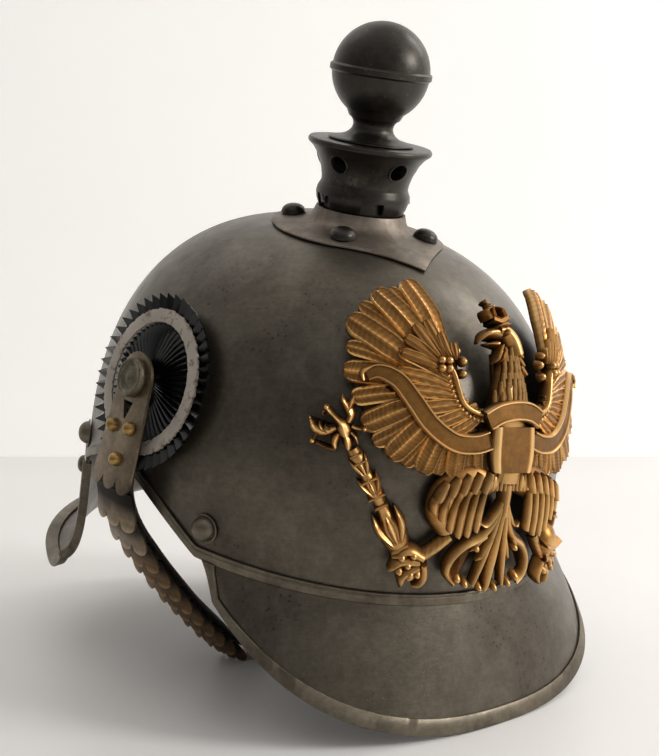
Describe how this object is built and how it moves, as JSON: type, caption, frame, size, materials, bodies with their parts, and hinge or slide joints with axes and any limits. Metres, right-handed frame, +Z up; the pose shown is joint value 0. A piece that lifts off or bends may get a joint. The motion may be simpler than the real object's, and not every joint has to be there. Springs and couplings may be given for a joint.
{
  "type": "pickelhaube",
  "caption": "Steel cavalry-style helmet with ball finial on a vented collar, pierced gilt eagle plate, round pleated cockade, front peak, neck guard and a scaled chin strap loop.",
  "frame": {"origin": "middle of the bounding box in X and Y, on the surface that the helmet stands on", "axes": "+Z up from the surface, -Y towards the front (the eagle plate), -X the wearer's right side (the cockade); the helmet leans nose-down by 12.68 degrees about X, resting on its front edge and its chin strap"},
  "size_m": [0.2316, 0.2864, 0.2874],
  "materials": {
    "steel": "dark grey steel with brown-grey patina, satin",
    "border_steel": "grey steel worn lighter, satin",
    "dark_steel": "blackened steel, satin",
    "gilt": "old gilt brass, dark in the recesses, bright on worn edges",
    "nickel": "tarnished nickel-plated brass",
    "old_brass": "brown tarnished brass",
    "black_lacquer": "gloss black lacquer, chipped",
    "white_lacquer": "off-white lacquer, chipped and greyed",
    "leather": "black leather, semi-matt"
  },
  "bodies": {
    "root": {"skull": "steel", "front_peak": "steel", "neck_guard": "steel", "rim_band": "border_steel", "front_peak_trim": "border_steel", "neck_guard_trim": "border_steel", "crown_plate": "border_steel", "crown_rivet_1": "dark_steel", "crown_rivet_2": "dark_steel", "crown_rivet_3": "dark_steel", "crown_rivet_4": "dark_steel", "front_rivet_right": "steel", "rear_rivet_right": "steel", "guard_rivet_right": "steel", "front_rivet_left": "steel", "rear_rivet_left": "steel", "guard_rivet_left": "steel", "vent_collar": "dark_steel", "ball_finial": "dark_steel", "cockade_outer": "black_lacquer", "cockade_ring": "white_lacquer", "cockade_centre": "black_lacquer", "chin_boss_right": "nickel", "chin_boss_left": "nickel", "eagle_plate": "gilt", "chin_leather": "leather", "head_plate_right": "nickel", "head_rivet_right_1": "old_brass", "head_rivet_right_2": "old_brass", "head_rivet_right_3": "old_brass", "chin_scale_right_1": "old_brass", "chin_scale_right_2": "old_brass", "chin_scale_right_3": "old_brass", "chin_scale_right_4": "old_brass", "chin_scale_right_5": "old_brass", "chin_scale_right_6": "old_brass", "chin_scale_right_7": "old_brass", "chin_scale_right_8": "old_brass", "chin_scale_right_9": "old_brass", "chin_scale_right_10": "old_brass", "chin_scale_right_11": "old_brass", "head_plate_left": "nickel", "head_rivet_left_1": "old_brass", "head_rivet_left_2": "old_brass", "head_rivet_left_3": "old_brass", "chin_scale_left_1": "old_brass", "chin_scale_left_2": "old_brass", "chin_scale_left_3": "old_brass", "chin_scale_left_4": "old_brass", "chin_scale_left_5": "old_brass", "chin_scale_left_6": "old_brass", "chin_scale_left_7": "old_brass", "chin_scale_left_8": "old_brass", "chin_scale_left_9": "old_brass", "chin_scale_left_10": "old_brass", "chin_scale_left_11": "old_brass", "strap_slide": "nickel"}
  },
  "joints": []
}
